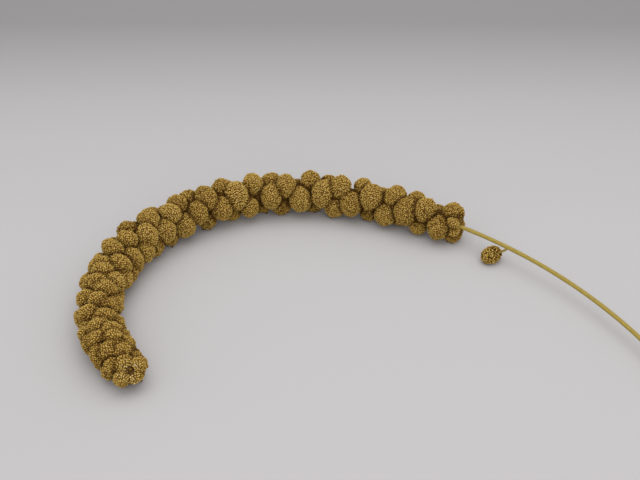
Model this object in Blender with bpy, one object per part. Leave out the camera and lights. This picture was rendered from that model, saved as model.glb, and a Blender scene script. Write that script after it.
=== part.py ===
"""A foxtail millet seed head lying on a flat surface.

A long bent head of round grain lobes, fused to the slim core that they grow from, on a bare straw
stalk, with one stray cluster of grains on a short pedicel. Metres, +Z up, the surface at z = 0 and
the origin under the middle of the whole spray. +X runs along the spray, from its bend to its stalk.
"""
import math
import random

import bmesh
import bpy
import numpy as np
from mathutils import Matrix, Vector

MM = 0.001
SEED = 8013
GOLDEN_ANGLE = math.radians(137.508)

# The axis, and how fast it bends in degrees per mm: ever faster from the cut end to the head's tip.
STALK_LENGTH = 190 * MM
HEAD_LENGTH = 407 * MM
AXIS_START = Vector((180.52 * MM, -108.77 * MM))
AXIS_STEP = 1 * MM
START_HEADING = math.radians(104.4)
BEND = ((0, 0.206), (265 * MM, 0.206), (310 * MM, 0.467), (457 * MM, 0.467), (597 * MM, 0.69))

# The head, from base (0) to tip (1): its half width, its lobes' size, and how closely they crowd,
# as each lobe's share of its own square. A lobe is wider across the head than along it.
HEAD_RADIUS = ((0, 15.5 * MM), (0.3, 17 * MM), (0.65, 17.2 * MM), (0.93, 14.6 * MM), (1, 11 * MM))
LOBE_RADIUS = ((0, 8.6 * MM), (0.3, 9.1 * MM), (0.5, 8.8 * MM), (0.88, 6.7 * MM), (1, 5.6 * MM))
LOBE_CROWDING = ((0, 0.76), (0.5, 0.76), (0.8, 0.6), (1, 0.42))
LOBE_WIDTH = 1.08
LOBE_FLATNESS = 0.92
LOBE_SIZE_SPREAD = 0.12
LOBE_TURN_SPREAD = 0.2
LOBE_SHIFT_SPREAD = 0.2
FIRST_LOBE = 12 * MM
FIRST_TURN = math.radians(276)
GRAIN_RELIEF = 0.5 * MM
ROOT_SIDE = -0.1
FLAT_SPOT_DEPTH = 1.4 * MM
CORE_RADIUS = ((0, 2.4 * MM), (0.05, 6 * MM), (0.95, 6 * MM), (1, 4 * MM))
CORE_SIDES = 6
CORE_RINGS = 36

# The stalk: a slightly flattened straw, which the head holds clear of the surface.
CUT_END_HEIGHT = 9 * MM
STALK_RADIUS = 1.55 * MM
STALK_FLATNESS = 0.88
STALK_SIDES = 10
STALK_RINGS = 30
GAP = 0.3 * MM

# The stray cluster: an oval of grains, below the stalk on the inner side of the bend.
STRAY_AT = 168.5 * MM
STRAY_INWARD = 4.4 * MM
STRAY_TURN = math.radians(80)
STRAY_LENGTH = 17 * MM
STRAY_THICKNESS = 12.6 * MM
STRAY_RELIEF = 0.7 * MM
PEDICEL_AT = 159.5 * MM
PEDICEL_RADIUS = 0.8 * MM
PEDICEL_SIDES = 6
PEDICEL_RINGS = 6
PEDICEL_SLOPE = math.radians(50)


def clear_scene():
    for obj in list(bpy.data.objects):
        bpy.data.objects.remove(obj)


def profile(points, at):
    """The value at a place, on straight lines between (place, value) points."""
    places = [place for place, value in points]
    values = [value for place, value in points]
    return float(np.interp(at, places, values))


class Axis:
    """The bent line through the stalk and the head, by its distance from the cut end.

    In the head it runs as high as the head's half width, less the depth of the flat spots.
    """

    def __init__(self):
        length = STALK_LENGTH + HEAD_LENGTH
        self.along = np.linspace(0, length, int(round(length / AXIS_STEP)) + 1)
        bend_places, rates = zip(*BEND)
        bend = np.radians(np.interp(self.along, bend_places, rates)) / MM
        self.heading = START_HEADING + self.sum_up(bend)
        self.x = AXIS_START.x + self.sum_up(np.cos(self.heading))
        self.y = AXIS_START.y + self.sum_up(np.sin(self.heading))
        shares = [share for share, radius in HEAD_RADIUS]
        heights = [radius - FLAT_SPOT_DEPTH for share, radius in HEAD_RADIUS]
        places = [STALK_LENGTH + HEAD_LENGTH * share for share in shares]
        self.z = np.interp(self.along, [0, *places], [CUT_END_HEIGHT, *heights])

    def sum_up(self, rate):
        steps = (rate[1:] + rate[:-1]) / 2 * np.diff(self.along)
        return np.concatenate(([0], np.cumsum(steps)))

    def point(self, at):
        return Vector([float(np.interp(at, self.along, line)) for line in (self.x, self.y, self.z)])

    def frame(self, at):
        """Directions along the axis, out of the bend, and up."""
        heading = float(np.interp(at, self.along, self.heading))
        ahead = Vector((math.cos(heading), math.sin(heading), 0))
        outward = Vector((math.sin(heading), -math.cos(heading), 0))
        return ahead, outward, Vector((0, 0, 1))


def lobe_places(axis, rng):
    """Centre, radius, root and flat direction of each lobe, turned by the golden angle one by one."""
    places = []
    at = FIRST_LOBE
    turn = FIRST_TURN
    while at < HEAD_LENGTH - LOBE_RADIUS[-1][1]:
        share = at / HEAD_LENGTH
        head_radius = profile(HEAD_RADIUS, share)
        lobe_radius = profile(LOBE_RADIUS, share)
        radius = lobe_radius * (1 + rng.uniform(-LOBE_SIZE_SPREAD, LOBE_SIZE_SPREAD))
        angle = turn + rng.uniform(-LOBE_TURN_SPREAD, LOBE_TURN_SPREAD)
        shift = rng.uniform(-LOBE_SHIFT_SPREAD, LOBE_SHIFT_SPREAD) * lobe_radius
        place = STALK_LENGTH + max(FIRST_LOBE, at + shift)
        ahead, outward, up = axis.frame(place)
        root = axis.point(place)
        centre = root + (outward * math.cos(angle) + up * math.sin(angle)) * (head_radius - radius)
        centre.z = max(centre.z, radius - FLAT_SPOT_DEPTH)
        places.append((centre, radius, root, ahead))
        turn += GOLDEN_ANGLE
        room = profile(LOBE_CROWDING, share) * (2 * lobe_radius) ** 2
        at += room / (2 * math.pi * (head_radius - lobe_radius))
    tip_radius = LOBE_RADIUS[-1][1]
    tip = axis.point(STALK_LENGTH + HEAD_LENGTH - tip_radius)
    tip_root = axis.point(STALK_LENGTH + HEAD_LENGTH - 3 * tip_radius)
    places.append((tip, tip_radius, tip_root, Vector((0, 0, 1))))
    return places


def mesh_object(name, bm, collection):
    """An object of one closed mesh, with its faces pointing out."""
    if bm.calc_volume(signed=True) < 0:
        bmesh.ops.reverse_faces(bm, faces=bm.faces[:])
    mesh = bpy.data.meshes.new(name)
    bm.to_mesh(mesh)
    bm.free()
    obj = bpy.data.objects.new(name, mesh)
    collection.objects.link(obj)
    return obj


def tube(points, frames, radii, sides, flatness=1.0):
    """A closed tube through points, with flat ends."""
    bm = bmesh.new()
    rings = []
    for point, (ahead, outward, up), radius in zip(points, frames, radii):
        ring = []
        for side in range(sides):
            angle = 2 * math.pi * side / sides
            offset = outward * math.cos(angle) + up * math.sin(angle) * flatness
            ring.append(bm.verts.new(point + offset * radius))
        rings.append(ring)
    for near, far in zip(rings, rings[1:]):
        for side in range(sides):
            after = (side + 1) % sides
            bm.faces.new((near[side], near[after], far[after], far[side]))
    bm.faces.new(reversed(rings[0]))
    bm.faces.new(rings[-1])
    return bm


def grain_lobe(centre, radius, root, flat, spin):
    """A ball of large grains, flatter along the head, its inner corner drawn to the core as a root."""
    bm = bmesh.new()
    bmesh.ops.create_icosphere(bm, subdivisions=1, radius=radius - GRAIN_RELIEF)
    outer = [face for face in bm.faces if face.calc_center_median().z > ROOT_SIDE * radius]
    grains = bmesh.ops.poke(bm, faces=outer)["verts"]
    for grain in grains:
        grain.co = grain.co.normalized() * radius
    outward = centre - root
    inner = min(bm.verts, key=lambda vert: vert.co.z)
    inner.co = Vector((0, 0, -outward.length))
    out = outward.normalized()
    across = flat.cross(out).normalized()
    turn = Matrix((across * LOBE_WIDTH, out.cross(across) * LOBE_FLATNESS, out)).transposed().to_4x4()
    spun = turn @ Matrix.Rotation(spin, 4, "Z")
    bmesh.ops.transform(bm, matrix=Matrix.Translation(centre) @ spun, verts=bm.verts[:])
    return bm


def boolean(obj, operation, **operand):
    modifier = obj.modifiers.new(operation.lower(), "BOOLEAN")
    modifier.operation = operation
    modifier.solver = "EXACT"
    for name, value in operand.items():
        setattr(modifier, name, value)


def apply_modifiers(obj):
    evaluated = obj.evaluated_get(bpy.context.evaluated_depsgraph_get())
    mesh = bpy.data.meshes.new_from_object(evaluated)
    obj.modifiers.clear()
    obj.data = mesh


def keep_outer_skin(obj):
    """Fill each pocket that the fused lobes close off, by keeping the largest skin alone."""
    bm = bmesh.new()
    bm.from_mesh(obj.data)
    unseen = set(bm.faces)
    skins = []
    while unseen:
        reached = [unseen.pop()]
        for face in reached:
            for edge in face.edges:
                for neighbour in edge.link_faces:
                    if neighbour in unseen:
                        unseen.remove(neighbour)
                        reached.append(neighbour)
        skins.append(reached)
    skins.sort(key=len)
    for skin in skins[:-1]:
        bmesh.ops.delete(bm, geom=skin, context="FACES")
    bm.to_mesh(obj.data)
    bm.free()


def remove_objects(objects):
    for obj in list(objects):
        bpy.data.objects.remove(obj)


def surface_cutter(collection):
    """A block whose top is the surface that the spray lies on."""
    bm = bmesh.new()
    bmesh.ops.create_cube(bm, size=1)
    bmesh.ops.translate(bm, vec=(0, 0, -0.5), verts=bm.verts[:])
    return mesh_object("surface_cutter", bm, collection)


def seed_head(axis, collection):
    """The head: every lobe fused to the core, with flat spots where it lies on the surface."""
    rng = random.Random(SEED)
    core_length = HEAD_LENGTH - LOBE_RADIUS[-1][1]
    shares = [ring / (CORE_RINGS - 1) for ring in range(CORE_RINGS)]
    places = [STALK_LENGTH + core_length * share for share in shares]
    core = tube([axis.point(at) for at in places], [axis.frame(at) for at in places],
                [profile(CORE_RADIUS, share) for share in shares], CORE_SIDES)
    head = mesh_object("seed_head", core, collection)
    lobes = bpy.data.collections.new("lobes")
    collection.children.link(lobes)
    for place in lobe_places(axis, rng):
        mesh_object("lobe", grain_lobe(*place, rng.uniform(0, 2 * math.pi)), lobes)
    boolean(head, "UNION", operand_type="COLLECTION", collection=lobes)
    cutter = surface_cutter(collection)
    boolean(head, "DIFFERENCE", object=cutter)
    apply_modifiers(head)
    keep_outer_skin(head)
    remove_objects([*lobes.objects, cutter])
    bpy.data.collections.remove(lobes)
    return head


def stalk(axis, collection):
    """The bare straw below the head, cut square at its end."""
    places = np.linspace(0, STALK_LENGTH - GAP, STALK_RINGS)
    bm = tube([axis.point(at) for at in places], [axis.frame(at) for at in places],
              [STALK_RADIUS] * STALK_RINGS, STALK_SIDES, STALK_FLATNESS)
    return mesh_object("stalk", bm, collection)


def arc_points(start, middle, end, count):
    """Points on a quadratic curve from start to end, drawn towards middle."""
    points = []
    for step in range(count):
        t = step / (count - 1)
        points.append(start * (1 - t) ** 2 + middle * 2 * t * (1 - t) + end * t ** 2)
    return points


def frames_along(points):
    """Directions along a short free curve, and two across it."""
    frames = []
    for index in range(len(points)):
        before = points[max(index - 1, 0)]
        after = points[min(index + 1, len(points) - 1)]
        ahead = (after - before).normalized()
        side = ahead.cross(Vector((0, 0, 1))).normalized()
        frames.append((ahead, side, side.cross(ahead)))
    return frames


def stray_cluster(axis, collection):
    """An oval of grains that rests on the surface, and its pedicel up to the stalk."""
    ahead, outward, up = axis.frame(STRAY_AT)
    centre = axis.point(STRAY_AT) - outward * STRAY_INWARD
    centre.z = STRAY_THICKNESS / 2 - FLAT_SPOT_DEPTH
    inward = -outward
    length_axis = ahead * math.cos(STRAY_TURN) + inward * math.sin(STRAY_TURN)
    side = up.cross(length_axis)
    bm = bmesh.new()
    bmesh.ops.create_icosphere(bm, subdivisions=2, radius=1)
    grains = bmesh.ops.poke(bm, faces=bm.faces[:])["verts"]
    relief = STRAY_RELIEF / STRAY_THICKNESS
    for grain in grains:
        grain.co = grain.co.normalized() * (1 + relief)
    half = Vector((STRAY_LENGTH, STRAY_THICKNESS, STRAY_THICKNESS)) / (2 * (1 + relief))
    for vert in bm.verts:
        x, y, z = vert.co
        vert.co = centre + length_axis * x * half.x + side * y * half.y + up * z * half.z
    cluster = mesh_object("stray_cluster", bm, collection)

    stalk_point = axis.point(PEDICEL_AT)
    ahead, outward, up = axis.frame(PEDICEL_AT)
    off_stalk = -outward * math.cos(PEDICEL_SLOPE) - up * math.sin(PEDICEL_SLOPE)
    top = stalk_point + off_stalk * (STALK_RADIUS + GAP)
    bend = stalk_point + off_stalk * 2 * STALK_RADIUS
    foot = centre - length_axis * STRAY_LENGTH / 4
    points = arc_points(foot, bend, top, PEDICEL_RINGS)
    pedicel = mesh_object("pedicel", tube(points, frames_along(points),
                                          [PEDICEL_RADIUS] * PEDICEL_RINGS, PEDICEL_SIDES), collection)
    boolean(cluster, "UNION", object=pedicel)
    cutter = surface_cutter(collection)
    boolean(cluster, "DIFFERENCE", object=cutter)
    apply_modifiers(cluster)
    remove_objects([pedicel, cutter])
    return cluster


def material(name, colour, roughness):
    made = bpy.data.materials.new(name)
    made.use_nodes = True
    shader = made.node_tree.nodes["Principled BSDF"]
    shader.inputs["Base Color"].default_value = (*colour, 1)
    shader.inputs["Roughness"].default_value = roughness
    shader.inputs["Metallic"].default_value = 0
    return made


def main():
    clear_scene()
    collection = bpy.context.scene.collection
    axis = Axis()
    head = seed_head(axis, collection)
    straw = stalk(axis, collection)
    stray = stray_cluster(axis, collection)
    grain = material("grain", (0.38, 0.24, 0.06), 0.75)
    straw_colour = material("straw", (0.50, 0.37, 0.12), 0.5)
    head.data.materials.append(grain)
    stray.data.materials.append(grain)
    straw.data.materials.append(straw_colour)


main()
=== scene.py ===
"""The looks of a foxtail millet seed head lying on a pale surface.

Every round lobe of the head is covered with small egg-shaped grains. The lobes are set by the same rule
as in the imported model. Short bristles and papery husks stand between the grains. The bare straw stalk,
the stray cluster with its pedicel, the studio and the camera follow. Metres, in the row's frame.
"""
import math
import random

import bpy
import numpy as np
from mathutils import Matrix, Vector


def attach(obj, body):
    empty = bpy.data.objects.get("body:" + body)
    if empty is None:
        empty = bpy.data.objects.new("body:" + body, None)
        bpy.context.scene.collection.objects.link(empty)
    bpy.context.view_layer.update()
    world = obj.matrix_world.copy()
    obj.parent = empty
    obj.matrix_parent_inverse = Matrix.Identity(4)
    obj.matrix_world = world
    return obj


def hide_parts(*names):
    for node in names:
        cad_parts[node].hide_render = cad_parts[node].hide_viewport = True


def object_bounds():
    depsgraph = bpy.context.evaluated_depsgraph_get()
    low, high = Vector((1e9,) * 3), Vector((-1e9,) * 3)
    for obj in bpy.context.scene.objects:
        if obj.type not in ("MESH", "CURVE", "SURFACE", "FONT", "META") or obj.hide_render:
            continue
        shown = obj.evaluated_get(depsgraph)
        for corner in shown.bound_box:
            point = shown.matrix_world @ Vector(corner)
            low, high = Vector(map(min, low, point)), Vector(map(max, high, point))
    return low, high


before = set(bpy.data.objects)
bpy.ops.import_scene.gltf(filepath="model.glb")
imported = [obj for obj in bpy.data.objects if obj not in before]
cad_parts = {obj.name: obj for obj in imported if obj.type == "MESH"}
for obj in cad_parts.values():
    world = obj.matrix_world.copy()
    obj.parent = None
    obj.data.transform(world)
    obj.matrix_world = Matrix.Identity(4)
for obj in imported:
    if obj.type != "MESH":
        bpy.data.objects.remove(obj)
cad_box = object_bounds()

MM = 0.001
SEED = 8013
GOLDEN_ANGLE = math.radians(137.508)

# The axis, and how fast it bends in degrees per mm: ever faster from the cut end to the head's tip.
STALK_LENGTH = 190 * MM
HEAD_LENGTH = 407 * MM
AXIS_START = Vector((180.52 * MM, -108.77 * MM))
AXIS_STEP = 1 * MM
START_HEADING = math.radians(104.4)
BEND = ((0, 0.206), (265 * MM, 0.206), (310 * MM, 0.467), (457 * MM, 0.467), (597 * MM, 0.69))

# The head: its half width from base (0) to tip (1), and its lobes of grains.
HEAD_RADIUS = ((0, 15.5 * MM), (0.3, 17 * MM), (0.65, 17.2 * MM), (0.93, 14.6 * MM), (1, 11 * MM))
LOBE_RADIUS = ((0, 8.6 * MM), (0.3, 9.1 * MM), (0.5, 8.8 * MM), (0.88, 6.7 * MM), (1, 5.6 * MM))
LOBE_CROWDING = ((0, 0.76), (0.5, 0.76), (0.8, 0.6), (1, 0.42))
LOBE_WIDTH = 1.08
LOBE_FLATNESS = 0.92
LOBE_SIZE_SPREAD = 0.12
LOBE_TURN_SPREAD = 0.2
LOBE_SHIFT_SPREAD = 0.2
FIRST_LOBE = 12 * MM
FIRST_TURN = math.radians(276)
FLAT_SPOT_DEPTH = 1.4 * MM

# Each lobe has its own stretch and swells into knobs. The knobs' size is a share of the lobe's, from
# base (0) to tip (1), and the surface sinks between them to the inner share.
LOBE_STRETCH = (0.95, 1.06)
KNOB_SHARE = ((0, 0.68), (0.45, 0.66), (0.65, 0.58), (0.85, 0.5), (1, 0.46))
KNOB_SPREAD = 0.13
KNOB_DIRECTIONS = 17
KNOB_DISORDER = 0.12
KNOB_ROOT_SIDE = -0.45
INNER_SHARE = 0.88

# A collar of small lobes closes the head around the stalk.
COLLAR_COUNT = 5
COLLAR_PLACE = 11 * MM
COLLAR_RADIUS = 4.7 * MM
COLLAR_OFFSET = 4.4 * MM
COLLAR_TURN_SPREAD = 0.2
COLLAR_SHIFT_SPREAD = 0.8 * MM

# The brown bodies inside the lobes, and the core between their roots. The core starts as slim as the
# stalk. Its radius, as a share of its full radius, is the slim start plus the widening times the place
# on the head from base (0) to tip (1), up to a share of 1.
UNDER_DEPTH = 0.95 * MM
BODY_SIDES = 16
BODY_RINGS = 10
LOWEST_BODY = 0.25 * MM
CORE_RADIUS = 6.5 * MM
CORE_SLIM_START = 0.2
CORE_WIDENING = 14
CORE_START = 12 * MM
CORE_SHORT_OF_TIP = 8 * MM
CORE_STEPS = 200
CORE_SIDES = 14
CORE_RIPPLE = 0.08
CORE_RIPPLES_AROUND = 5
CORE_RIPPLE_TWIST = 900

# Grains: egg-shaped, set over the knobs and the core with their tips out. Close-set grains take up the
# cell area, in squares of their spacing, on a surface at the seat depth, in grain lengths. Those that
# would go under the floor are laid along it, at the height of a low grain's middle.
GRAIN_LENGTH = 2.1 * MM
GRAIN_WIDTH = 1.56 * MM
GRAIN_SPACING = 1.4 * MM
GRAIN_CELL_AREA = 0.866
GRAIN_SEAT_DEPTH = 0.3
GRAIN_SIDES = 6
GRAIN_PROFILE = ((0.42, 1.0), (0.82, 0.74))
GRAIN_LEAN = 0.2
GRAIN_DISORDER = 0.09
GRAIN_SHIFT = 0.03
GRAIN_STAND_OUT = (-0.08, 0.12)
GRAIN_SCALES = (0.88, 1.12)
GRAIN_WIDTHS = (0.94, 1.06)
GRAIN_THICKNESSES = (0.88, 1.0)
GRAIN_LENGTHS = (0.95, 1.06)
LOW_GRAIN = GRAIN_WIDTH * 0.57
LAID_DISORDER = 0.4
LAID_RISE = 0.02
SECTIONS = 5

# Grains on the core: from where to where on the head's length, and how rough they lie.
CORE_GRAIN_SHARES = (0.03, 0.97)
CORE_ROUGHNESS = 0.1
CORE_GRAIN_DISORDER = 0.3

# Grains that can't be seen are left out: under the surface, inside another lobe, or shut in by lobes
# whichever of these ways a ray from the tip is tilted.
LOWEST_TIP = -0.6 * MM
BURIED_MARGIN = 0.9 * MM
BURIED_SEARCH = 1.1
SIGHT_START = 0.3 * MM
SIGHT_REACH = 24 * MM
SIGHT_CLEARANCE = 1.1 * MM
SIGHT_TILTS = ((0, 0, 0), (0, 0, 1.2), (1.2, 0, 0), (-1.2, 0, 0), (0, 1.2, 0), (0, -1.2, 0),
               (0, 0, -1.2))

# Tones from 0, the darkest grain, to 1, a pale husk. The grain map has one cell for each tone, in a
# grid of this many cells each way, and the grains' own map fills a cell but for its edge.
CELLS_ACROSS = 8
CELL_EDGE = 0.08
TOP_TONE = 0.999
GRAIN_TONE = 0.47
GRAIN_TONE_SPREAD = 0.12
LOBE_TONE_SPREAD = 0.06
# Painted shade: the grains on the core, deep between the lobes, are darker.
CORE_PAINTED_SHADE = -0.22
# Grains that lean aside from their lobe's outward way are darker: partly painted shade, partly browner
# inner grains.
LEANING_SHADE_AND_BROWNING = 0.14
EVEN_FACING = 0.75
# Painted shade in the creases: grains whose tips lie near another lobe are darker, up to this reach.
CREVICE_PAINTED_SHADE = 0.34
CREVICE_REACH = 2.6 * MM

# A bare spot among pale husks on the tip, where grains have dropped out. The bodies' surface is pulled
# in there by a share of the way to the lobe's centre.
TIP_SPOT = (-136.7 * MM, -97.8 * MM, 15.3 * MM)
TIP_SPOT_HOLE = 2.8 * MM
TIP_SPOT_EDGE = (0.8, 1.2)
TIP_SPOT_DEPTH = 0.4
TIP_SPOT_FADE = 1.6
TIP_SPOT_HUSKS = 7.5 * MM
TIP_SPOT_HUSK_FADE = 1.2
TIP_SPOT_TONES = (0.3, 1.1)

# Bristles: stiff hairs beside some of the grains, clear of the surface and not far over the CAD's top.
BRISTLE_CHANCE = 0.3
BRISTLE_LENGTHS = (2.0 * MM, 3.1 * MM)
BRISTLE_RADIUS = 0.055 * MM
BRISTLE_DISORDER = 0.3
BRISTLE_LOWEST_TIP = 0.1 * MM
BRISTLE_OVER_TOP = 0.6 * MM

# Husks: papery flakes between the grains, more of them about the bare spot. Their width is a share of
# their length.
HUSK_CHANCE = 0.035
HUSK_CHANCE_AT_SPOT = 0.4
HUSK_LENGTHS = (1.3 * MM, 1.9 * MM)
HUSK_WIDTH = 0.55
HUSK_THICKNESS = 0.3 * MM
HUSK_SHIFT = 0.4 * MM
HUSK_DISORDER = 0.4
HUSK_TONES = (0.75, 1)
HUSK_SIDES = 4
HUSK_LOWEST_TIP = 0.3 * MM
HUSK_LOWEST_FOOT = 0.4 * MM
HUSK_OVER_TOP = 0.4 * MM

# The stalk: a slightly flattened straw, which the head holds clear of the surface. Its end tapers
# inside the head.
CUT_END_HEIGHT = 9 * MM
STALK_RADIUS = 1.55 * MM
STALK_FLATNESS = 0.88
STALK_INSIDE_HEAD = 26 * MM
STALK_TAPER = 0.4
STALK_STEPS = 260
STALK_SIDES = 28

# The straw's ribs: their height as a share of the radius, how many go around, and how they twist per
# metre. One groove winds along it, and it is a little uneven along its length.
RIBS = ((0.018, 11, 9), (0.012, 17, -5.4))
GROOVE_DEPTH = 0.05
GROOVE_WIDTH = 0.18
GROOVE_TWIST = 2.7
GROOVE_TURN = 0.7
UNEVENNESS = 0.02
UNEVEN_WAVES = (260, 97)
TUBE_MAP_SCALE = 10

# The stray cluster: an oval of grains, below the stalk on the inner side of the bend. The grains' feet
# lie under its outline by a share of a grain's length.
STRAY_AT = 168.5 * MM
STRAY_INWARD = 4.4 * MM
STRAY_TURN = math.radians(80)
STRAY_LENGTH = 17 * MM
STRAY_THICKNESS = 12.6 * MM
STRAY_FEET = 0.95
STRAY_FOOT_SPREAD = (0.95, 1.05)
STRAY_SHIFT = 0.04
STRAY_LEAN = 0.35
STRAY_DISORDER = 0.17
STRAY_WIDTHS = (0.85, 1.1)
STRAY_LENGTHS = (0.9, 1.1)
STRAY_TONE = 0.43
STRAY_TONE_SPREAD = 0.17
STRAY_BODY_SIDES = 14
STRAY_BODY_RINGS = 9
STRAY_BODY_LIFT = 0.2 * MM

# Its pedicel curves from the cluster's inside into the stalk's side, a little thicker there. Its end
# and the corner that it curves around lie off the stalk's middle by these shares of the stalk's radius.
PEDICEL_AT = 159.5 * MM
PEDICEL_RADIUS = 0.8 * MM
PEDICEL_SHARES = ((0, 0.95), (1, 1.15))
PEDICEL_SLOPE = math.radians(50)
PEDICEL_END = 0.7
PEDICEL_CORNER = 2
PEDICEL_STEPS = 13
PEDICEL_SIDES = 12
PEDICEL_RIPPLE = 0.06
PEDICEL_RIPPLES_AROUND = 5

# Colours, as (place on the ramp, colour) in linear red, green and blue. A grain's body colour runs from
# foot to tip: its dark foot is partly brown glume and partly painted shade, and its bright tip is a
# painted highlight. Its shade and its streaks multiply that colour.
GRAIN_BODY_WITH_PAINTED_LIGHT = ((0.3, (0.13, 0.052, 0.005)), (0.62, (0.28, 0.158, 0.021)),
              (0.82, (0.44, 0.28, 0.052)), (0.92, (0.95, 0.74, 0.28)))
GRAIN_SHADE = ((0.0, (0.24, 0.17, 0.10)), (0.22, (0.62, 0.56, 0.46)), (0.5, (1.0, 1.0, 1.0)),
               (0.78, (1.14, 1.2, 1.4)), (1.0, (1.25, 1.5, 3.4)))
GRAIN_STREAK = ((0.3, (0.78, 0.74, 0.68)), (0.7, (1.12, 1.12, 1.12)))
UNDER_COLOUR = ((0.35, (0.115, 0.045, 0.005)), (0.7, (0.24, 0.13, 0.022)))
BRISTLE_COLOUR = ((0.1, (0.12, 0.06, 0.03)), (0.9, (0.42, 0.30, 0.12)))
STRAW_COLOUR = ((0.25, (0.20, 0.135, 0.022)), (0.5, (0.36, 0.265, 0.048)), (0.8, (0.48, 0.375, 0.09)))

# Streaks on a grain: how often the noise changes around it, along it, and from tone to tone.
STREAKS_AROUND = 10
STREAKS_ALONG = 2.5
STREAKS_BY_TONE = 50

# The floor is a little darker far behind the head: painted shade, where the light falls off.
FLOOR_SIZE = 6.0
FLOOR_COLOUR = (0.515, 0.505, 0.51)
FLOOR_FADE_START = -0.14
FLOOR_FADE_DEPTH = 0.62
FLOOR_FADE = ((0, 1.0), (0.31, 0.985), (0.55, 0.93), (0.67, 0.87), (0.82, 0.73), (0.98, 0.58))

# Soft lights: name, place, what each points at, width and power. The sky fills the shadows.
SOFTBOXES = (("top", (-0.05, 0.15, 1.0), (-0.05, 0.02, 0), 1.2, 5.0),
             ("front", (0.2, -1.15, 0.75), (-0.05, 0, 0), 1.2, 4.5))
SKY_COLOUR = (1.0, 0.985, 0.985, 1)
SKY_STRENGTH = 0.72

# The photograph's camera, in the row's frame.
IMAGE_WIDTH = 640
FOCAL_PIXELS = 900
SENSOR_WIDTH = 36
CAMERA_PLACE = Vector((-28.26 * MM, -475.18 * MM, 370.45 * MM))
CAMERA_PITCH = math.radians(35)


def profile(points, at):
    """The value at a place, on straight lines between (place, value) points."""
    places = [place for place, value in points]
    values = [value for place, value in points]
    return float(np.interp(at, places, values))


class Axis:
    """The bent line through the stalk and the head, by its distance from the cut end.

    In the head it runs as high as the head's half width, less the depth of the flat spots.
    """

    def __init__(self):
        length = STALK_LENGTH + HEAD_LENGTH
        self.along = np.linspace(0, length, int(round(length / AXIS_STEP)) + 1)
        bend_places, rates = zip(*BEND)
        bend = np.radians(np.interp(self.along, bend_places, rates)) / MM
        self.heading = START_HEADING + self.sum_up(bend)
        self.x = AXIS_START.x + self.sum_up(np.cos(self.heading))
        self.y = AXIS_START.y + self.sum_up(np.sin(self.heading))
        places = [STALK_LENGTH + HEAD_LENGTH * share for share, radius in HEAD_RADIUS]
        heights = [radius - FLAT_SPOT_DEPTH for share, radius in HEAD_RADIUS]
        self.z = np.interp(self.along, [0, *places], [CUT_END_HEIGHT, *heights])

    def sum_up(self, rate):
        steps = (rate[1:] + rate[:-1]) / 2 * np.diff(self.along)
        return np.concatenate(([0], np.cumsum(steps)))

    def point(self, at):
        return Vector([float(np.interp(at, self.along, line)) for line in (self.x, self.y, self.z)])

    def frame(self, at):
        """Directions along the axis, out of the bend, and up."""
        heading = float(np.interp(at, self.along, self.heading))
        ahead = Vector((math.cos(heading), math.sin(heading), 0))
        outward = Vector((math.sin(heading), -math.cos(heading), 0))
        return ahead, outward, Vector((0, 0, 1))


def lobe_places(axis, rng):
    """Centre, radius, root and flat direction of each lobe, turned by the golden angle one by one."""
    places = []
    at = FIRST_LOBE
    turn = FIRST_TURN
    while at < HEAD_LENGTH - LOBE_RADIUS[-1][1]:
        share = at / HEAD_LENGTH
        head_radius = profile(HEAD_RADIUS, share)
        lobe_radius = profile(LOBE_RADIUS, share)
        radius = lobe_radius * (1 + rng.uniform(-LOBE_SIZE_SPREAD, LOBE_SIZE_SPREAD))
        angle = turn + rng.uniform(-LOBE_TURN_SPREAD, LOBE_TURN_SPREAD)
        shift = rng.uniform(-LOBE_SHIFT_SPREAD, LOBE_SHIFT_SPREAD) * lobe_radius
        place = STALK_LENGTH + max(FIRST_LOBE, at + shift)
        ahead, outward, up = axis.frame(place)
        root = axis.point(place)
        centre = root + (outward * math.cos(angle) + up * math.sin(angle)) * (head_radius - radius)
        centre.z = max(centre.z, radius - FLAT_SPOT_DEPTH)
        places.append((centre, radius, root, ahead))
        turn += GOLDEN_ANGLE
        room = profile(LOBE_CROWDING, share) * (2 * lobe_radius) ** 2
        at += room / (2 * math.pi * (head_radius - lobe_radius))
    tip_radius = LOBE_RADIUS[-1][1]
    tip = axis.point(STALK_LENGTH + HEAD_LENGTH - tip_radius)
    tip_root = axis.point(STALK_LENGTH + HEAD_LENGTH - 3 * tip_radius)
    places.append((tip, tip_radius, tip_root, Vector((0, 0, 1))))
    return places


def collar_places(axis, rng):
    """Centre, radius, root and flat direction of each small lobe around the stalk's entry."""
    places = []
    for number in range(COLLAR_COUNT):
        angle = 2 * math.pi * number / COLLAR_COUNT
        angle += rng.uniform(-COLLAR_TURN_SPREAD, COLLAR_TURN_SPREAD)
        place = STALK_LENGTH + COLLAR_PLACE + rng.uniform(-COLLAR_SHIFT_SPREAD, COLLAR_SHIFT_SPREAD)
        ahead, outward, up = axis.frame(place)
        way = outward * math.cos(angle) + up * math.sin(angle)
        centre = axis.point(place) + way * COLLAR_OFFSET
        root = axis.point(place + COLLAR_RADIUS)
        places.append((centre, COLLAR_RADIUS, root, ahead.cross(way)))
    return places


def unit(vectors):
    return vectors / np.maximum(np.linalg.norm(vectors, axis=-1, keepdims=True), 1e-12)


def sphere_directions(count):
    """Directions spread evenly over a sphere by the golden angle."""
    step = np.arange(count)
    z = 1 - (2 * step + 1) / count
    across = np.sqrt(1 - z * z)
    return np.stack([across * np.cos(GOLDEN_ANGLE * step), across * np.sin(GOLDEN_ANGLE * step), z], 1)


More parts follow.
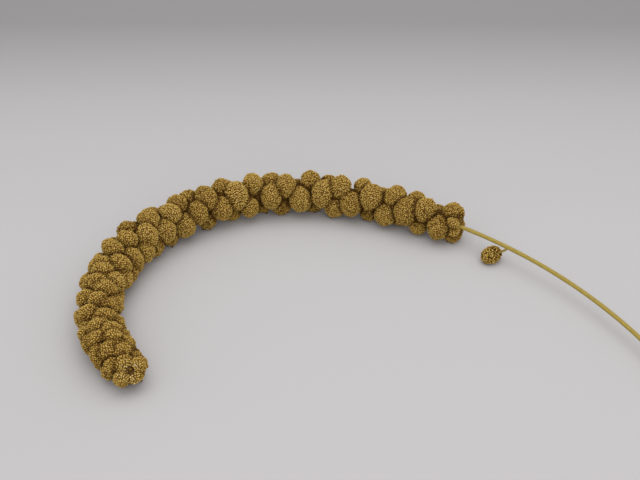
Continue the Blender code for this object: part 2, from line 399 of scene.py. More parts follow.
def bases_along(directions, rng):
    """For each direction, three rows: two across it at a random turn, and itself."""
    helper = np.where(np.abs(directions[:, 2:3]) < 0.9, [[0, 0, 1.0]], [[1.0, 0, 0]])
    across = unit(np.cross(directions, helper))
    third = np.cross(directions, across)
    turn = rng.uniform(0, 2 * math.pi, len(directions))[:, None]
    first = across * np.cos(turn) + third * np.sin(turn)
    second = np.cross(directions, first)
    return np.stack([first, second, directions], 1)


def random_turn(rng):
    """Three directions square to each other, turned at random."""
    return bases_along(unit(rng.normal(size=(1, 3))), rng)[0]


class Lobe:
    """One lobe of the head: a flattened ball that swells into knobs, in its own directions."""

    def __init__(self, centre, radius, root, flat, share, rng):
        self.centre = np.array(centre)
        self.radius = radius
        out = (centre - root).normalized()
        across = flat.cross(out).normalized()
        self.out = np.array(out)
        self.turn = np.array((across, out.cross(across), out))
        self.scale = np.array((LOBE_WIDTH, LOBE_FLATNESS, 1)) * rng.uniform(*LOBE_STRETCH, 3)
        self.share = share
        ways = sphere_directions(KNOB_DIRECTIONS) @ random_turn(rng)
        ways = unit(ways + rng.normal(size=ways.shape) * KNOB_DISORDER)
        ways = ways[ways[:, 2] > KNOB_ROOT_SIDE]
        size = profile(KNOB_SHARE, share)
        self.knob_radii = size * (1 + rng.uniform(-KNOB_SPREAD, KNOB_SPREAD, len(ways)))
        self.knobs = ways * (1 - self.knob_radii)[:, None]

    def reach(self, ways):
        """How far the surface lies along unit directions, in lobe radii, and its normals there."""
        along = ways @ self.knobs.T
        square = self.knob_radii ** 2 - (self.knobs ** 2).sum(1) + along ** 2
        far = np.where(square > 0, along + np.sqrt(np.maximum(square, 0)), 0)
        best = far.argmax(1)
        distance = far[np.arange(len(ways)), best]
        on_knob = distance > INNER_SHARE
        distance = np.maximum(distance, INNER_SHARE)
        normals = np.where(on_knob[:, None], ways * distance[:, None] - self.knobs[best], ways)
        return distance, unit(normals)

    def surface(self, ways):
        """Points of the surface along the lobe's own directions, and normals, in the row's frame."""
        distance, normals = self.reach(ways)
        points = self.centre + (ways * distance[:, None] * self.scale * self.radius) @ self.turn
        return points, unit((normals / self.scale) @ self.turn)

    def holds(self, points, margin):
        """Whether points lie inside the lobe by more than a margin."""
        local = (points - self.centre) @ self.turn.T / self.scale / self.radius
        length = np.linalg.norm(local, axis=1)
        distance, normals = self.reach(local / np.maximum(length, 1e-9)[:, None])
        return length < distance - margin / self.radius


class Stamps:
    """Many copies of one small closed shape, gathered into one mesh."""

    def __init__(self, shape_points, shape_faces, shape_uvs):
        self.points = np.array(shape_points)
        self.faces = shape_faces
        self.uvs = np.array(shape_uvs)

    def mesh(self, name, places, bases, sizes, cells, cells_across):
        """One copy for each place, with its own directions, its size along each, and its map cell."""
        count = len(places)
        local = self.points[None] * sizes[:, None]
        points = places[:, None] + np.einsum("nvk,nkj->nvj", local, bases)
        corner = np.concatenate([np.array(face) for face in self.faces])
        totals = np.array([len(face) for face in self.faces])
        corners = (corner[None] + np.arange(count)[:, None] * len(self.points)).ravel()
        starts = np.concatenate(([0], np.cumsum(np.tile(totals, count))[:-1]))
        mesh = bpy.data.meshes.new(name)
        mesh.vertices.add(count * len(self.points))
        mesh.vertices.foreach_set("co", points.astype(np.float32).ravel())
        mesh.loops.add(len(corners))
        mesh.loops.foreach_set("vertex_index", corners.astype(np.int32))
        mesh.polygons.add(count * len(totals))
        mesh.polygons.foreach_set("loop_start", starts.astype(np.int32))
        column = cells % cells_across
        row = cells // cells_across
        corner_uv = CELL_EDGE + (1 - 2 * CELL_EDGE) * self.uvs
        u = (column[:, None] + corner_uv[None, :, 0]) / cells_across
        v = (row[:, None] + corner_uv[None, :, 1]) / cells_across
        uv = np.stack([u, v], -1).astype(np.float32).ravel()
        for layer_name in ("OFBake", "grain"):
            layer = mesh.uv_layers.new(name=layer_name)
            layer.uv.foreach_set("vector", uv)
        mesh.update(calc_edges=True)
        mesh.shade_smooth()
        return mesh


def spindle(rings, sides):
    """A closed spindle one unit long and one unit wide, its points at 0 and 1 along Z."""
    points = [(0, 0, 0)]
    for height, width in rings:
        for side in range(sides):
            angle = 2 * math.pi * side / sides
            points.append((math.cos(angle) * width / 2, math.sin(angle) * width / 2, height))
    points.append((0, 0, 1))
    last = len(points) - 1
    faces = []
    uvs = []
    heights = [height for height, width in rings]
    for side in range(sides):
        after = (side + 1) % sides
        left, right = side / sides, (side + 1) / sides
        faces.append((0, 1 + after, 1 + side))
        uvs += [((left + right) / 2, 0), (right, heights[0]), (left, heights[0])]
        for ring in range(len(rings) - 1):
            low = 1 + ring * sides
            high = low + sides
            faces.append((low + side, low + after, high + after, high + side))
            uvs += [(left, heights[ring]), (right, heights[ring]),
                    (right, heights[ring + 1]), (left, heights[ring + 1])]
        top = 1 + (len(rings) - 1) * sides
        faces.append((top + side, top + after, last))
        uvs += [(left, heights[-1]), (right, heights[-1]), ((left + right) / 2, 1)]
    return points, faces, uvs


def ball(sides, rings):
    """Points of a unit ball from pole to pole, and its faces."""
    points = [(0, 0, -1)]
    for ring in range(1, rings):
        polar = math.pi * ring / rings
        for side in range(sides):
            angle = 2 * math.pi * side / sides
            points.append((math.sin(polar) * math.cos(angle), math.sin(polar) * math.sin(angle),
                           -math.cos(polar)))
    points.append((0, 0, 1))
    last = len(points) - 1
    faces = []
    for side in range(sides):
        after = (side + 1) % sides
        faces.append((0, 1 + after, 1 + side))
        for ring in range(rings - 2):
            low = 1 + ring * sides
            high = low + sides
            faces.append((low + side, low + after, high + after, high + side))
        top = 1 + (rings - 2) * sides
        faces.append((top + side, top + after, last))
    return np.array(points), faces


def tube_mesh(name, points, frames, radii, flatness, sides, ripple):
    """A closed tube along a curve, with shallow ribs along it and a map of girth by length."""
    verts, faces, uvs = [], [], []
    travelled = 0.0
    lengths = []
    for index, (point, (ahead, outward, up), radius) in enumerate(zip(points, frames, radii)):
        if index:
            travelled += (point - points[index - 1]).length
        lengths.append(travelled * TUBE_MAP_SCALE)
        for side in range(sides):
            angle = 2 * math.pi * side / sides
            width = radius * (1 + ripple(angle, travelled))
            verts.append(point + (outward * math.cos(angle) + up * math.sin(angle) * flatness) * width)
    for ring in range(len(points) - 1):
        low = ring * sides
        near, far = lengths[ring], lengths[ring + 1]
        for side in range(sides):
            after = (side + 1) % sides
            left, right = side / sides, (side + 1) / sides
            faces.append((low + side, low + sides + side, low + sides + after, low + after))
            uvs += [(left, near), (left, far), (right, far), (right, near)]
    first = len(verts)
    verts.append(points[0])
    verts.append(points[-1])
    top = (len(points) - 1) * sides
    for side in range(sides):
        after = (side + 1) % sides
        left, right = side / sides, (side + 1) / sides
        faces.append((first, side, after))
        faces.append((first + 1, top + after, top + side))
        uvs += [(0.5, 0), (left, 0), (right, 0)]
        uvs += [(0.5, lengths[-1]), (right, lengths[-1]), (left, lengths[-1])]
    mesh = bpy.data.meshes.new(name)
    mesh.from_pydata([tuple(v) for v in verts], [], faces)
    layer = mesh.uv_layers.new(name="straw")
    layer.uv.foreach_set("vector", np.array(uvs, np.float32).ravel())
    mesh.shade_smooth()
    return mesh


def axis_tube(name, axis, places, radii, flatness, sides, ripple):
    points = [axis.point(at) for at in places]
    frames = [axis.frame(at) for at in places]
    return tube_mesh(name, points, frames, radii, flatness, sides, ripple)


def piece(name, mesh, made_material, slot, *nodes):
    obj = bpy.data.objects.new(name, mesh)
    bpy.context.scene.collection.objects.link(obj)
    mesh.materials.append(made_material)
    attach(obj, "root")
    if nodes:
        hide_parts(*nodes)
    return obj


def node_material(name):
    made = bpy.data.materials.new(name)
    made.use_nodes = True
    nodes = made.node_tree.nodes
    return made, nodes, made.node_tree.links, nodes["Principled BSDF"]


def add_node(nodes, kind, **settings):
    node = nodes.new(kind)
    for name, value in settings.items():
        setattr(node, name, value)
    return node


def split_map(nodes, links, map_name):
    """The two coordinates of a map."""
    uv = add_node(nodes, "ShaderNodeUVMap", uv_map=map_name)
    split = nodes.new("ShaderNodeSeparateXYZ")
    links.new(uv.outputs[0], split.inputs[0])
    return split.outputs[0], split.outputs[1]


def math_node(nodes, links, operation, *values):
    node = add_node(nodes, "ShaderNodeMath", operation=operation)
    for socket, value in zip(node.inputs, values):
        if isinstance(value, (int, float)):
            socket.default_value = value
        else:
            links.new(value, socket)
    return node.outputs[0]


def noise_node(nodes, links, vector, scale, detail):
    noise = nodes.new("ShaderNodeTexNoise")
    noise.inputs["Scale"].default_value = scale
    noise.inputs["Detail"].default_value = detail
    links.new(vector, noise.inputs["Vector"])
    return noise.outputs["Fac"]


def ramp_node(nodes, links, value, stops):
    """The colour that belongs to a value, between (place, colour) stops."""
    node = nodes.new("ShaderNodeValToRGB")
    elements = node.color_ramp.elements
    while len(elements) < len(stops):
        elements.new(0.5)
    for element, (place, colour) in zip(elements, stops):
        element.position = place
        element.color = (*colour, 1)
    links.new(value, node.inputs[0])
    return node.outputs[0]


def multiply_node(nodes, links, first, second):
    """One colour multiplied by another."""
    mix = add_node(nodes, "ShaderNodeMix", data_type="RGBA", blend_type="MULTIPLY")
    mix.inputs["Factor"].default_value = 1
    links.new(first, mix.inputs["A"])
    links.new(second, mix.inputs["B"])
    return mix.outputs["Result"]


def bump_node(nodes, links, height, strength, distance):
    """The normal of a surface that a height raises and lowers a little."""
    bump = nodes.new("ShaderNodeBump")
    bump.inputs["Strength"].default_value = strength
    bump.inputs["Distance"].default_value = distance
    links.new(height, bump.inputs["Height"])
    return bump.outputs[0]


def grain_material():
    """Golden husks: brown at the foot, partly real and partly painted shade, with a painted highlight at
    the tip, each tone of the map a little different.
    """
    made, nodes, links, shader = node_material("grain")
    u, v = split_map(nodes, links, "grain")
    u = math_node(nodes, links, "MULTIPLY", u, CELLS_ACROSS)
    v = math_node(nodes, links, "MULTIPLY", v, CELLS_ACROSS)
    column = math_node(nodes, links, "FLOOR", u)
    row = math_node(nodes, links, "FLOOR", v)
    around = math_node(nodes, links, "FRACT", u)
    along = math_node(nodes, links, "FRACT", v)
    row_tone = math_node(nodes, links, "MULTIPLY", row, 1 / CELLS_ACROSS)
    tone = math_node(nodes, links, "MULTIPLY_ADD", column, 1 / CELLS_ACROSS ** 2, row_tone)
    # Painted shade at the grain's foot, along with real brown glume, and a painted highlight at its tip.
    body = ramp_node(nodes, links, along, GRAIN_BODY_WITH_PAINTED_LIGHT)
    shade = ramp_node(nodes, links, tone, GRAIN_SHADE)
    tinted = multiply_node(nodes, links, body, shade)

    local = nodes.new("ShaderNodeCombineXYZ")
    links.new(math_node(nodes, links, "MULTIPLY", around, STREAKS_AROUND), local.inputs[0])
    links.new(math_node(nodes, links, "MULTIPLY", along, STREAKS_ALONG), local.inputs[1])
    links.new(math_node(nodes, links, "MULTIPLY", tone, STREAKS_BY_TONE), local.inputs[2])
    streaks = noise_node(nodes, links, local.outputs[0], scale=1.6, detail=4)
    streak = ramp_node(nodes, links, streaks, GRAIN_STREAK)
    links.new(multiply_node(nodes, links, tinted, streak), shader.inputs["Base Color"])
    bump = bump_node(nodes, links, streaks, strength=0.35, distance=0.08 * MM)
    links.new(bump, shader.inputs["Normal"])
    shader.inputs["Roughness"].default_value = 0.7
    shader.inputs["Specular IOR Level"].default_value = 0.1
    return made


def under_material():
    """The brown depth between grains: stems, glumes and shade."""
    made, nodes, links, shader = node_material("under")
    place = nodes.new("ShaderNodeTexCoord")
    noise = noise_node(nodes, links, place.outputs["Object"], scale=900, detail=3)
    links.new(ramp_node(nodes, links, noise, UNDER_COLOUR), shader.inputs["Base Color"])
    shader.inputs["Roughness"].default_value = 0.85
    return made


def bristle_material():
    """Stiff hairs, brown at the foot and straw-coloured at the tip."""
    made, nodes, links, shader = node_material("bristle")
    around, along = split_map(nodes, links, "grain")
    links.new(ramp_node(nodes, links, along, BRISTLE_COLOUR), shader.inputs["Base Color"])
    shader.inputs["Roughness"].default_value = 0.5
    return made


def straw_material():
    """Dry straw with fine ribs along it, by the map of the stalk's girth and length."""
    made, nodes, links, shader = node_material("straw")
    uv = add_node(nodes, "ShaderNodeUVMap", uv_map="straw")
    stretch = nodes.new("ShaderNodeMapping")
    stretch.inputs["Scale"].default_value = (14, 9, 1)
    links.new(uv.outputs[0], stretch.inputs["Vector"])
    fibres = noise_node(nodes, links, stretch.outputs[0], scale=3, detail=6)
    links.new(ramp_node(nodes, links, fibres, STRAW_COLOUR), shader.inputs["Base Color"])
    bump = bump_node(nodes, links, fibres, strength=0.4, distance=0.1 * MM)
    links.new(bump, shader.inputs["Normal"])
    shader.inputs["Roughness"].default_value = 0.5
    shader.inputs["Specular IOR Level"].default_value = 0.22
    return made


def floor_material():
    """A pale floor, with painted shade that makes it a little darker far behind the object."""
    made, nodes, links, shader = node_material("floor")
    place = nodes.new("ShaderNodeTexCoord")
    split = nodes.new("ShaderNodeSeparateXYZ")
    links.new(place.outputs["Object"], split.inputs[0])
    far = math_node(nodes, links, "MULTIPLY_ADD", split.outputs[1], 1 / FLOOR_FADE_DEPTH,
                    -FLOOR_FADE_START / FLOOR_FADE_DEPTH)
    stops = [(at, [tone * part for part in FLOOR_COLOUR]) for at, tone in FLOOR_FADE]
    links.new(ramp_node(nodes, links, far, stops), shader.inputs["Base Color"])
    shader.inputs["Roughness"].default_value = 0.85
    shader.inputs["Specular IOR Level"].default_value = 0.15
    return made


def seat_count(area):
    """How many close-set grains cover an area."""
    return int(area / (GRAIN_CELL_AREA * GRAIN_SPACING ** 2))


def lobe_seats(lobes, rng):
    """Lists of the tips, directions and lobe numbers of the grains all over each lobe."""
    tips, ways, owners = [], [], []
    for index, lobe in enumerate(lobes):
        count = seat_count(4 * math.pi * (lobe.radius - GRAIN_LENGTH * GRAIN_SEAT_DEPTH) ** 2)
        directions = sphere_directions(count) @ random_turn(rng)
        directions = unit(directions + rng.normal(size=directions.shape) * GRAIN_SHIFT)
        points, normals = lobe.surface(directions)
        way = unit(normals + lobe.out * GRAIN_LEAN + rng.normal(size=normals.shape) * GRAIN_DISORDER)
        tips.append(points + way * (GRAIN_LENGTH * rng.uniform(*GRAIN_STAND_OUT, count))[:, None])
        ways.append(way)
        owners.append(np.full(count, index))
    return tips, ways, owners


def core_slimness(share):
    """How slim the core is at a share of the head's length: it starts as thin as the stalk."""
    return min(1, CORE_SLIM_START + share * CORE_WIDENING)


def core_seats(axis, rng):
    """Points over the core, between the lobes' roots, with their normals."""
    count = seat_count(2 * math.pi * CORE_RADIUS * HEAD_LENGTH)
    turns = np.arange(count) * GOLDEN_ANGLE
    points, normals = [], []
    for turn, at in zip(turns, np.linspace(*CORE_GRAIN_SHARES, count)):
        place = STALK_LENGTH + HEAD_LENGTH * at
        ahead, outward, up = axis.frame(place)
        way = outward * math.cos(turn) + up * math.sin(turn)
        roughness = rng.uniform(-CORE_ROUGHNESS, CORE_ROUGHNESS)
        points.append(axis.point(place) + way * (CORE_RADIUS * core_slimness(at) * (1 + roughness)))
        normals.append(way)
    return np.array(points), np.array(normals)


def clear_of_lobes(tips, owners, lobes):
    """Which tips lie over the surface and inside no other lobe."""
    kept = tips[:, 2] > LOWEST_TIP
    for index, lobe in enumerate(lobes):
        close = np.linalg.norm(tips - lobe.centre, axis=1) < BURIED_SEARCH * lobe.radius
        near = np.flatnonzero(kept & (owners != index) & close)
        kept[near[lobe.holds(tips[near], BURIED_MARGIN)]] = False
    return kept


def hidden(points, directions, centres, radii, reach):
    """Whether a ray from each point along its direction soon runs into a lobe."""
    to_lobe = centres[None] - points[:, None]
    along = np.einsum("nlk,nk->nl", to_lobe, directions)
    gap = np.einsum("nlk,nlk->nl", to_lobe, to_lobe) - along * along
    return ((along > 0) & (along < reach) & (gap < radii[None] ** 2)).any(1)


def in_sight(tips, ways, lobes):
    """Which tips can be seen from some side, along a ray tilted one way or another."""
    centres = np.array([lobe.centre for lobe in lobes])
    radii = np.array([lobe.radius for lobe in lobes])
    blocked = np.ones(len(tips), bool)
    for tilt in SIGHT_TILTS:
        way = unit(ways + np.array(tilt))
        blocked &= hidden(tips + way * SIGHT_START, way, centres, radii - SIGHT_CLEARANCE, SIGHT_REACH)
    return ~blocked


def grain_seats(axis, lobes, rng):
    """Tips, directions and lobe numbers, -1 for the core, of all grains that can be seen."""
    tips, ways, owners = lobe_seats(lobes, rng)
    points, normals = core_seats(axis, rng)
    tips.append(points)
    ways.append(unit(normals + rng.normal(size=normals.shape) * CORE_GRAIN_DISORDER))
    owners.append(np.full(len(points), -1))
    tips, ways, owners = np.concatenate(tips), np.concatenate(ways), np.concatenate(owners)
    kept = clear_of_lobes(tips, owners, lobes)
    tips, ways, owners = tips[kept], ways[kept], owners[kept]
    seen = in_sight(tips, ways, lobes)
    return tips[seen], ways[seen], owners[seen]


def room_around(tips, owners, lobes):
    """How far each grain's tip lies from the nearest lobe that it doesn't belong to."""
    room = np.full(len(tips), np.inf)
    for index, lobe in enumerate(lobes):
        gap = np.linalg.norm(tips - lobe.centre, axis=1) - lobe.radius
        room = np.where(owners == index, room, np.minimum(room, gap))
    return room


def lay_flat(tips, ways, rng):
    """Turn the grains that would go under the surface along it, and keep all of them above it."""
    low = (tips[:, 2] < LOW_GRAIN) & (ways[:, 2] < 0)
    flat = ways[low] * (1, 1, 0) + rng.normal(size=(low.sum(), 3)) * (LAID_DISORDER, LAID_DISORDER, 0)
    ways[low] = unit(flat + (0, 0, LAID_RISE))
    bases = tips - ways * GRAIN_LENGTH
    bases[:, 2] = np.maximum(bases[:, 2], LOW_GRAIN)
    ends = bases + ways * GRAIN_LENGTH
    steep = ends[:, 2] < LOW_GRAIN
    ways[steep, 2] = 0
    return bases, unit(ways)


def grain_cells(tones):
    """The cell of the grain map for each tone, 0 for the darkest grains and 1 for pale husks."""
    return np.floor(np.clip(tones, 0, TOP_TONE) * CELLS_ACROSS ** 2).astype(int)


def grain_tones(tips, ways, owners, from_spot, lobes, rng):
    """Painted shade between lobes and on the core; darker where a grain leans aside, partly painted
    shade and partly browner inner grains; paler about the bare spot.
    """
    # Each lobe's own tone at random, and painted shade for the core's grains.
    lobe_tone_and_core_shade = np.append(rng.normal(0, LOBE_TONE_SPREAD, len(lobes)), CORE_PAINTED_SHADE)
    outs = np.array([lobe.out for lobe in lobes] + [(0, 0, 0)])
    facing = np.clip((ways * outs[owners]).sum(1), -1, 1)
    # Darker where a grain leans aside: partly painted shade, partly browner inner grains.
    tones = GRAIN_TONE + lobe_tone_and_core_shade[owners] + LEANING_SHADE_AND_BROWNING * (facing - EVEN_FACING)
    tones += rng.normal(0, GRAIN_TONE_SPREAD, len(tips))
    # Painted shade on grains close to another lobe.
    tones -= CREVICE_PAINTED_SHADE * (1 - np.clip(room_around(tips, owners, lobes) / CREVICE_REACH, 0, 1))
    husks = np.clip(TIP_SPOT_HUSK_FADE - from_spot / TIP_SPOT_HUSKS, 0, 1)
    return tones + husks * rng.uniform(*TIP_SPOT_TONES, len(tips))


def grain_sizes(count, rng):
    """Each grain's width, thickness and length."""
    scale = rng.uniform(*GRAIN_SCALES, count)
    width = GRAIN_WIDTH * scale * rng.uniform(*GRAIN_WIDTHS, count)
    thickness = GRAIN_WIDTH * scale * rng.uniform(*GRAIN_THICKNESSES, count)
    length = GRAIN_LENGTH * rng.uniform(*GRAIN_LENGTHS, count)
    return np.stack([width, thickness, length], 1)


def make_head(axis, lobes, materials):
    """The grains, in sections from the head's base to its tip, but for those missing at the spot."""
    rng = np.random.default_rng(SEED)
    tips, ways, owners = grain_seats(axis, lobes, rng)
    from_spot = np.linalg.norm(tips - TIP_SPOT, axis=1)
    kept = from_spot > TIP_SPOT_HOLE * rng.uniform(*TIP_SPOT_EDGE, len(tips))
    tips, ways, owners, from_spot = tips[kept], ways[kept], owners[kept], from_spot[kept]
    count = len(tips)
    tones = grain_tones(tips, ways, owners, from_spot, lobes, rng)
    bases, ways = lay_flat(tips, ways, rng)
    sizes = grain_sizes(count, rng)
    turns = bases_along(ways, rng)
    order = np.array([lobe.share for lobe in lobes] + [0.0])[owners]
    on_core = owners < 0
    order[on_core] = rng.uniform(0, 1, on_core.sum())
    rank = order.argsort(kind="stable").argsort(kind="stable")
    stamps = Stamps(*spindle(GRAIN_PROFILE, GRAIN_SIDES))
    for section in range(SECTIONS):
        part = rank * SECTIONS // count == section
        name = f"grains_{section + 1}"
        mesh = stamps.mesh(name, bases[part], turns[part], sizes[part], grain_cells(tones[part]),
                           CELLS_ACROSS)
        piece(name, mesh, materials["grain"], "grain", "seed_head")
    return bases, ways, turns, from_spot


def make_bodies(lobes, materials):
    """The brown inner bodies of the lobes, which close the gaps between the grains."""
    directions, faces = ball(BODY_SIDES, BODY_RINGS)
    points, all_faces = [], []
    for number, lobe in enumerate(lobes):
        surface, normals = lobe.surface(directions)
        from_spot = np.linalg.norm(surface - TIP_SPOT, axis=1)
        near_spot = np.clip(TIP_SPOT_FADE - from_spot / TIP_SPOT_HOLE, 0, 1)
        inner = surface - normals * UNDER_DEPTH
        inner -= (inner - lobe.centre) * (TIP_SPOT_DEPTH * near_spot)[:, None]
        inner[:, 2] = np.maximum(inner[:, 2], LOWEST_BODY)
        points.append(inner)
        first = number * len(directions)
        all_faces += [tuple(corner + first for corner in face) for face in faces]
    mesh = bpy.data.meshes.new("lobe_bodies")
    mesh.from_pydata(np.concatenate(points).tolist(), [], all_faces)
    mesh.shade_smooth()
    piece("lobe_bodies", mesh, materials["under"], "grain", "seed_head")


def make_core(axis, materials):
    """The brown core between the lobes' roots, which stands for the head's own stem."""
    def ripple(angle, at):
        return CORE_RIPPLE * math.sin(CORE_RIPPLES_AROUND * angle + at * CORE_RIPPLE_TWIST)

    start = STALK_LENGTH + CORE_START
    end = STALK_LENGTH + HEAD_LENGTH - CORE_SHORT_OF_TIP
    places = np.linspace(start, end, CORE_STEPS)
    radius = CORE_RADIUS - UNDER_DEPTH
    radii = [radius * core_slimness((at - STALK_LENGTH) / HEAD_LENGTH) for at in places]
    mesh = axis_tube("core", axis, places, radii, 1.0, CORE_SIDES, ripple)
    piece("core", mesh, materials["under"], "grain", "seed_head")


def make_bristles(places, ways, bases, materials):
    """Short stiff hairs that stand a little out from between the grains."""
    rng = np.random.default_rng(SEED + 1)
    chosen = rng.random(len(places)) < BRISTLE_CHANCE
    base = places[chosen] + bases[chosen][:, 0] * GRAIN_WIDTH / 2
    way = unit(ways[chosen] + rng.normal(size=(chosen.sum(), 3)) * BRISTLE_DISORDER)
    length = rng.uniform(*BRISTLE_LENGTHS, chosen.sum())
    tip_z = base[:, 2] + way[:, 2] * length
    kept = (tip_z > BRISTLE_LOWEST_TIP) & (tip_z < cad_box[1].z + BRISTLE_OVER_TOP)
    base, way, length = base[kept], way[kept], length[kept]
    points = []
    for side in range(3):
        angle = 2 * math.pi * side / 3
        points.append((math.cos(angle), math.sin(angle), 0))
    points.append((0, 0, 1))
    faces = [(0, 2, 1), (0, 1, 3), (1, 2, 3), (2, 0, 3)]
    uvs = [(0.3, 0), (0.6, 0), (0.5, 0.1)] + [(0, 0), (1, 0), (0.5, 1)] * 3
    thickness = np.full(len(base), BRISTLE_RADIUS)
    sizes = np.stack([thickness, thickness, length], 1)
    cells = np.zeros(len(base), int)
    mesh = Stamps(points, faces, uvs).mesh("bristles", base, bases_along(way, rng), sizes, cells, 1)
    piece("bristles", mesh, materials["bristle"], "grain", "seed_head")


def make_husks(places, ways, from_spot, materials):
    """Small papery husks between the grains, and more of them about the bare spot."""
    rng = np.random.default_rng(SEED + 3)
    chance = HUSK_CHANCE + HUSK_CHANCE_AT_SPOT * np.clip(1 - from_spot / TIP_SPOT_HUSKS, 0, 1)
    chosen = rng.random(len(places)) < chance
    way = unit(ways[chosen] + rng.normal(size=(chosen.sum(), 3)) * HUSK_DISORDER)
    base = places[chosen] + ways[chosen] * GRAIN_LENGTH / 2 + bases_along(way, rng)[:, 0] * HUSK_SHIFT
    length = rng.uniform(*HUSK_LENGTHS, chosen.sum())
    tip_z = base[:, 2] + way[:, 2] * length
    kept = (tip_z > HUSK_LOWEST_TIP) & (tip_z < cad_box[1].z + HUSK_OVER_TOP)
    kept &= base[:, 2] > HUSK_LOWEST_FOOT
    base, way, length = base[kept], way[kept], length[kept]
    points = [(0, 0, 0), (0.5, 0, 0.5), (0, 0.5, 0.55), (-0.5, 0, 0.5), (0, -0.2, 0.5), (0, 0, 1)]
    faces, uvs = [], []
    for side in range(HUSK_SIDES):
        here, after = 1 + side, 1 + (side + 1) % HUSK_SIDES
        left, right = (side / HUSK_SIDES, 0.5), ((side + 1) / HUSK_SIDES, 0.5)
        faces += [(0, after, here), (here, after, 1 + HUSK_SIDES)]
        uvs += [(0.5, 0), right, left, left, right, (0.5, 1)]
    sizes = np.stack([length * HUSK_WIDTH, np.full(len(base), HUSK_THICKNESS), length], 1)
    turns = bases_along(way, rng)
    cells = grain_cells(rng.uniform(*HUSK_TONES, len(base)))
    mesh = Stamps(points, faces, uvs).mesh("husks", base, turns, sizes, cells, CELLS_ACROSS)
    piece("husks", mesh, materials["grain"], "grain", "seed_head")


def make_stalk(axis, materials):
    """The bare straw, from its cut end to a tapered end inside the head."""
    def ribs(angle, at):
        rib = sum(height * math.cos(number * angle + twist * at) for height, number, twist in RIBS)
        across = math.sin((angle + GROOVE_TWIST * at - GROOVE_TURN) / 2) / GROOVE_WIDTH
        groove = GROOVE_DEPTH * math.exp(-across ** 2)
        first_wave, second_wave = UNEVEN_WAVES
        return rib - groove + UNEVENNESS * math.sin(at * first_wave) * math.sin(at * second_wave)

    places = np.linspace(0, STALK_LENGTH + STALK_INSIDE_HEAD, STALK_STEPS)
    inside = np.maximum(places - STALK_LENGTH, 0) / STALK_INSIDE_HEAD
    radii = [STALK_RADIUS * (1 - STALK_TAPER * share) for share in inside]
    mesh = axis_tube("straw_stalk", axis, places, radii, STALK_FLATNESS, STALK_SIDES, ribs)
    piece("straw_stalk", mesh, materials["straw"], "straw", "stalk")


def stray_frame(axis):
    """The stray cluster's centre, and the directions along it, to its side and up."""
    ahead, outward, up = axis.frame(STRAY_AT)
    centre = axis.point(STRAY_AT) - outward * STRAY_INWARD
    centre.z = STRAY_THICKNESS / 2 - FLAT_SPOT_DEPTH
    length_axis = ahead * math.cos(STRAY_TURN) - outward * math.sin(STRAY_TURN)
    return centre, length_axis, up.cross(length_axis), up


def make_stray(axis, materials):
    """The stray cluster: an oval of grains over a brown body."""
    rng = np.random.default_rng(SEED + 2)
    centre, length_axis, side, up = stray_frame(axis)
    turned = np.array([length_axis, side, up])
    half = np.array([STRAY_LENGTH, STRAY_THICKNESS, STRAY_THICKNESS]) / 2
    feet = half - GRAIN_LENGTH * STRAY_FEET
    outer = half - GRAIN_LENGTH * GRAIN_SEAT_DEPTH
    count = seat_count(4 * math.pi * (outer[0] * outer[1] * 2 + outer[1] ** 2) / 3)
    directions = sphere_directions(count)
    directions = unit(directions + rng.normal(size=directions.shape) * STRAY_SHIFT)
    normals = unit(directions / half)
    place = np.array(centre) + (directions * feet * rng.uniform(*STRAY_FOOT_SPREAD, (count, 1))) @ turned
    way = normals @ turned + np.array(length_axis) * STRAY_LEAN
    way = unit(way + rng.normal(size=normals.shape) * STRAY_DISORDER)
    place, way = lay_flat(place + way * GRAIN_LENGTH, way, rng)
    width = GRAIN_WIDTH * rng.uniform(*STRAY_WIDTHS, count)
    length = GRAIN_LENGTH * rng.uniform(*STRAY_LENGTHS, count)
    sizes = np.stack([width, width, length], 1)
    turns = bases_along(way, rng)
    cells = grain_cells(rng.normal(STRAY_TONE, STRAY_TONE_SPREAD, count))
    stamps = Stamps(*spindle(GRAIN_PROFILE, GRAIN_SIDES))
    mesh = stamps.mesh("stray_grains", place, turns, sizes, cells, CELLS_ACROSS)
    piece("stray_grains", mesh, materials["grain"], "grain", "stray_cluster")

    points, faces = ball(STRAY_BODY_SIDES, STRAY_BODY_RINGS)
    corners = sum(len(face) for face in faces)
    body = Stamps(points, faces, [(0.5, 0.5)] * corners)
    inner = feet.copy()
    inner[2] = min(inner[2], centre.z - STRAY_BODY_LIFT)
    mesh = body.mesh("stray_body", np.array([centre]), turned[None], inner[None], np.zeros(1, int), 1)
    for layer in list(mesh.uv_layers):
        mesh.uv_layers.remove(layer)
    piece("stray_body", mesh, materials["under"], "grain", "stray_cluster")


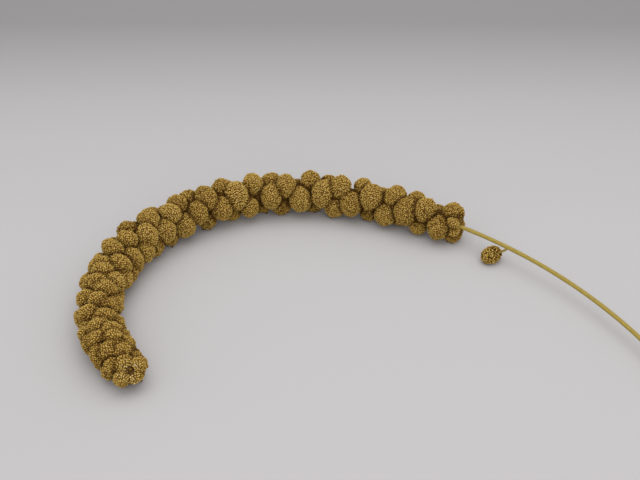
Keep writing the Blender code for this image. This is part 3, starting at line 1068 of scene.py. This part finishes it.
def make_pedicel(axis, materials):
    """The stray cluster's short stem, on a curve from the cluster into the stalk's side."""
    def ripple(angle, at):
        return PEDICEL_RIPPLE * math.cos(PEDICEL_RIPPLES_AROUND * angle)

    centre, length_axis, side, up = stray_frame(axis)
    ahead, outward, up = axis.frame(PEDICEL_AT)
    stalk_point = axis.point(PEDICEL_AT)
    off_stalk = -outward * math.cos(PEDICEL_SLOPE) - up * math.sin(PEDICEL_SLOPE)
    foot = centre - length_axis * STRAY_LENGTH / 4
    corner = stalk_point + off_stalk * STALK_RADIUS * PEDICEL_CORNER
    end = stalk_point + off_stalk * STALK_RADIUS * PEDICEL_END
    steps = [step / PEDICEL_STEPS for step in range(PEDICEL_STEPS + 1)]
    points = [foot * (1 - t) ** 2 + corner * 2 * t * (1 - t) + end * t ** 2 for t in steps]
    frames = []
    for index in range(len(points)):
        before = points[max(index - 1, 0)]
        after = points[min(index + 1, len(points) - 1)]
        along = (after - before).normalized()
        across = along.cross(Vector((0, 0, 1))).normalized()
        frames.append((along, across, -along.cross(across)))
    radii = [PEDICEL_RADIUS * profile(PEDICEL_SHARES, t) for t in steps]
    mesh = tube_mesh("pedicel", points, frames, radii, 1.0, PEDICEL_SIDES, ripple)
    piece("pedicel", mesh, materials["straw"], "straw", "stray_cluster")


def softbox(name, place, target, width, power):
    light = bpy.data.lights.new(name, "AREA")
    light.shape = "SQUARE"
    light.size = width
    light.energy = power
    obj = bpy.data.objects.new(name, light)
    obj.location = place
    obj.rotation_euler = (Vector(target) - Vector(place)).to_track_quat("-Z", "Y").to_euler()
    bpy.context.scene.collection.objects.link(obj)


def make_studio():
    size = FLOOR_SIZE
    mesh = bpy.data.meshes.new("floor")
    mesh.from_pydata([(-size, -size, 0), (size, -size, 0), (size, size, 0), (-size, size, 0)], [],
                     [(0, 1, 2, 3)])
    floor = bpy.data.objects.new("floor", mesh)
    bpy.context.scene.collection.objects.link(floor)
    mesh.materials.append(floor_material())
    for box in SOFTBOXES:
        softbox(*box)
    world = bpy.data.worlds.new("studio")
    world.use_nodes = True
    background = world.node_tree.nodes["Background"]
    background.inputs["Color"].default_value = SKY_COLOUR
    background.inputs["Strength"].default_value = SKY_STRENGTH
    bpy.context.scene.world = world


def make_camera():
    camera = bpy.data.cameras.new("camera")
    camera.sensor_width = SENSOR_WIDTH
    camera.lens = FOCAL_PIXELS / IMAGE_WIDTH * SENSOR_WIDTH
    camera.clip_start = 0.01
    camera.clip_end = 50
    obj = bpy.data.objects.new("camera", camera)
    obj.location = CAMERA_PLACE
    obj.rotation_euler = (math.pi / 2 - CAMERA_PITCH, 0, 0)
    bpy.context.scene.collection.objects.link(obj)
    bpy.context.scene.camera = obj


def make_lobes(axis):
    """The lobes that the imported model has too, and then the collar's."""
    rng = np.random.default_rng(SEED + 4)
    places = lobe_places(axis, random.Random(SEED))
    lobes = [Lobe(*place, number / (len(places) - 1), rng) for number, place in enumerate(places)]
    return lobes + [Lobe(*place, 0, rng) for place in collar_places(axis, random.Random(SEED + 5))]


materials = {
    "grain": grain_material(),
    "under": under_material(),
    "bristle": bristle_material(),
    "straw": straw_material(),
}
axis = Axis()
lobes = make_lobes(axis)
grain_bases, grain_ways, grain_turns, grain_from_spot = make_head(axis, lobes, materials)
make_bodies(lobes, materials)
make_core(axis, materials)
make_bristles(grain_bases, grain_ways, grain_turns, materials)
make_husks(grain_bases, grain_ways, grain_from_spot, materials)
make_stalk(axis, materials)
make_stray(axis, materials)
make_pedicel(axis, materials)
make_studio()
make_camera()
bpy.context.scene.view_settings.view_transform = "Standard"
